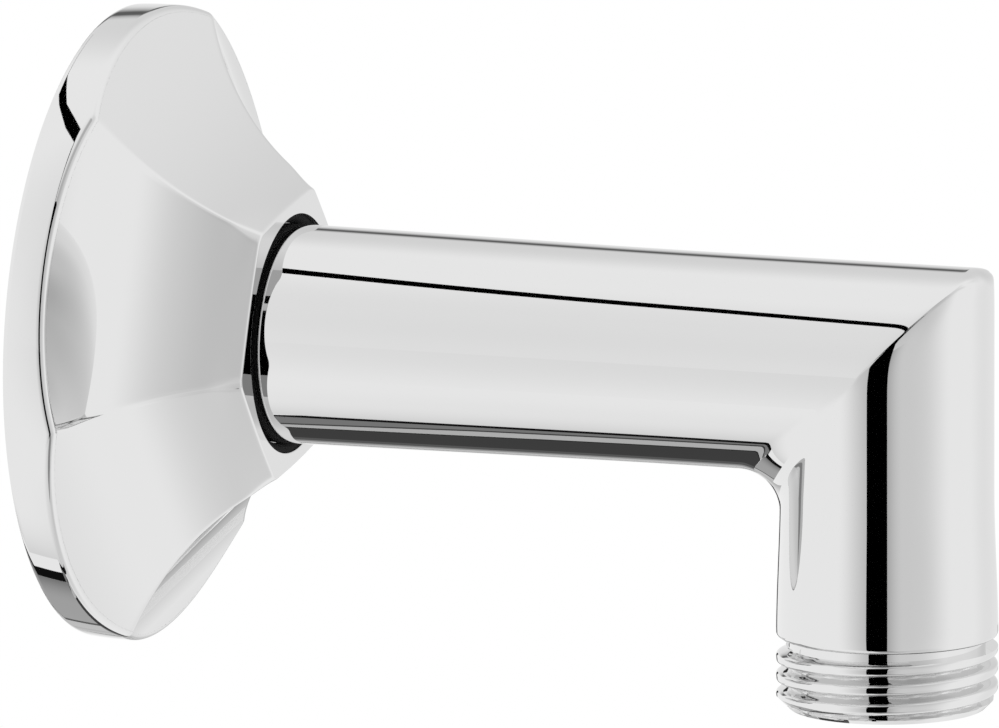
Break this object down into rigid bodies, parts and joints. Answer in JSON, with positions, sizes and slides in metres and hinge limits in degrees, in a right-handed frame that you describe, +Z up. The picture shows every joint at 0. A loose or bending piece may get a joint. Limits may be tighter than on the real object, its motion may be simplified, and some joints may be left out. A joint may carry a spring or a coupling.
{
  "type": "wall outlet elbow",
  "caption": "Chrome wall elbow for a shower hose: a round tube out of the wall with a mitred bend down to a male pipe thread, and a flared six-sided rosette that hides the wall joint.",
  "frame": {"origin": "on the tube's axis in the plane of the finished wall, which is also the plane of the rosette's back rim", "axes": "+X out of the wall along the tube, +Z up, and the leg with the hose thread points along -Z"},
  "size_m": [0.096, 0.061, 0.0626],
  "materials": {
    "chrome_plate": "polished bright chrome plate on brass",
    "black_rubber": "moulded matt rubber",
    "white_plastic": "moulded acetal, satin",
    "spring_steel": "drawn stainless wire"
  },
  "bodies": {
    "elbow": {"elbow": "chrome_plate", "valve_housing": "white_plastic", "valve_o_ring": "black_rubber", "valve_guide": "white_plastic", "valve_spring": "spring_steel"},
    "ring": {"rosette_ring": "black_rubber"},
    "rosette": {"rosette": "chrome_plate"},
    "poppet": {"valve_poppet": "white_plastic", "poppet_seal": "black_rubber"}
  },
  "joints": [
    {"name": "ring_slide", "type": "slide", "parent": "elbow", "child": "ring", "axis": [1, 0, 0], "range_m": [0, 0.045]},
    {"name": "rosette_turn", "type": "hinge", "parent": "ring", "child": "rosette", "pos_m": [0.016, 0, 0], "axis": [1, 0, 0], "continuous": true},
    {"name": "poppet_lift", "type": "slide", "parent": "elbow", "child": "poppet", "axis": [0, 0, -1], "range_m": [0, 0.0025], "stiffness_N_per_m": 80, "springref_m": -0.002, "deforming": ["valve_spring"]}
  ]
}
